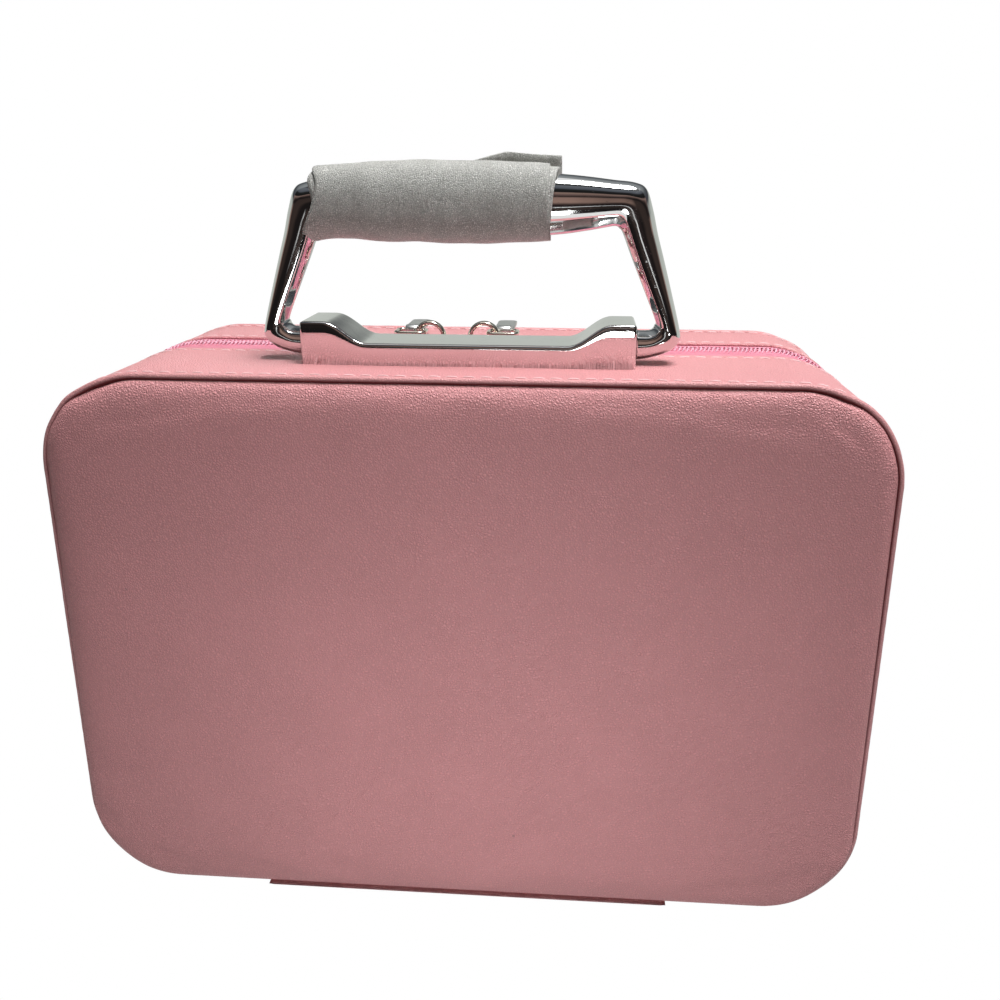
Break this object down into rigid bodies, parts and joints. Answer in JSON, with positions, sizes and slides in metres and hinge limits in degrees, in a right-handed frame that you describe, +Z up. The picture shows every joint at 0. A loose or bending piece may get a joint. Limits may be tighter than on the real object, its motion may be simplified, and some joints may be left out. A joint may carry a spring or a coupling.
{
  "type": "makeup storage case",
  "caption": "Zip-around hard makeup case with a deep body, a shallow hinged lid, padded dividers and a swinging plated carry handle on top.",
  "frame": {"origin": "on the floor, under the middle of the case as it stands on its spine", "axes": "+X to the right along the long side, +Y from the front panel towards the lid, +Z up to the handle"},
  "size_m": [0.24, 0.099, 0.2218],
  "materials": {
    "leather": "fine-grained satin pink imitation leather",
    "piping_leather": "the same imitation leather, drawn tight",
    "board": "plain stiff board",
    "lining_cloth": "brushed cloth",
    "zip_tape": "woven polyester tape",
    "zip_coil": "nylon coil",
    "divider_cloth": "brushed cloth over foam",
    "handle_chrome": "mirror plated",
    "steel": "zinc-plated steel",
    "slider_nickel": "warm nickel plate",
    "tab_nickel": "satin nickel plate",
    "foam_sleeve": "thin speckled polyethylene foam",
    "pocket_net": "polyester net",
    "elastic": "woven elastic"
  },
  "bodies": {
    "case_body": {"body_shell": "board", "body_skin": "leather", "front_panel": "leather", "front_piping": "piping_leather", "body_lining": "lining_cloth", "body_zip_tape": "zip_tape", "body_zip_teeth": "zip_coil", "body_spine": "piping_leather", "long_divider": "divider_cloth", "upper_divider_left": "divider_cloth", "upper_divider_right": "divider_cloth", "lower_divider_left": "divider_cloth", "lower_divider_right": "divider_cloth", "handle_base": "handle_chrome", "backing_plate": "steel", "handle_screws": "steel"},
    "case_lid": {"lid_shell": "board", "lid_skin": "leather", "rear_panel": "leather", "rear_piping": "piping_leather", "lid_lining": "lining_cloth", "lid_zip_tape": "zip_tape", "lid_zip_teeth": "zip_coil", "lid_spine": "piping_leather", "lid_pocket": "pocket_net", "pocket_band": "elastic"},
    "carry_bail": {"bail": "handle_chrome", "pivot_pin_left": "steel", "pivot_pin_right": "steel", "grip_sleeve": "foam_sleeve"},
    "zip_slider_left": {"slider_left": "slider_nickel"},
    "zip_slider_right": {"slider_right": "slider_nickel"},
    "pull_link_left": {"link_left": "slider_nickel"},
    "pull_link_right": {"link_right": "slider_nickel"},
    "pull_tab_left": {"tab_left": "tab_nickel"},
    "pull_tab_right": {"tab_right": "tab_nickel"}
  },
  "joints": [
    {"name": "lid_hinge", "type": "hinge", "parent": "case_body", "child": "case_lid", "pos_m": [0, 0.01, 0], "axis": [-1, 0, 0], "range_deg": [0, 170]},
    {"name": "bail_hinge", "type": "hinge", "parent": "case_body", "child": "carry_bail", "pos_m": [0, -0.0185, 0.1721], "axis": [-1, 0, 0], "range_deg": [-80, 65]},
    {"name": "left_slider_travel", "type": "slide", "parent": "case_body", "child": "zip_slider_left", "axis": [-1, 0, 0], "range_m": [0, 0.069]},
    {"name": "right_slider_travel", "type": "slide", "parent": "case_body", "child": "zip_slider_right", "axis": [1, 0, 0], "range_m": [0, 0.083]},
    {"name": "left_link_hinge", "type": "hinge", "parent": "zip_slider_left", "child": "pull_link_left", "pos_m": [-0.0175, 0.01, 0.1706], "axis": [0, 1, 0], "range_deg": [0, 150]},
    {"name": "right_link_hinge", "type": "hinge", "parent": "zip_slider_right", "child": "pull_link_right", "pos_m": [0.003, 0.01, 0.1706], "axis": [0, -1, 0], "range_deg": [0, 150]},
    {"name": "left_tab_hinge", "type": "hinge", "parent": "pull_link_left", "child": "pull_tab_left", "pos_m": [-0.02205, 0.0138, 0.1706], "axis": [-1, 0, 0], "range_deg": [-110, 0]},
    {"name": "right_tab_hinge", "type": "hinge", "parent": "pull_link_right", "child": "pull_tab_right", "pos_m": [0.00755, 0.0138, 0.1706], "axis": [-1, 0, 0], "range_deg": [-110, 0]}
  ]
}
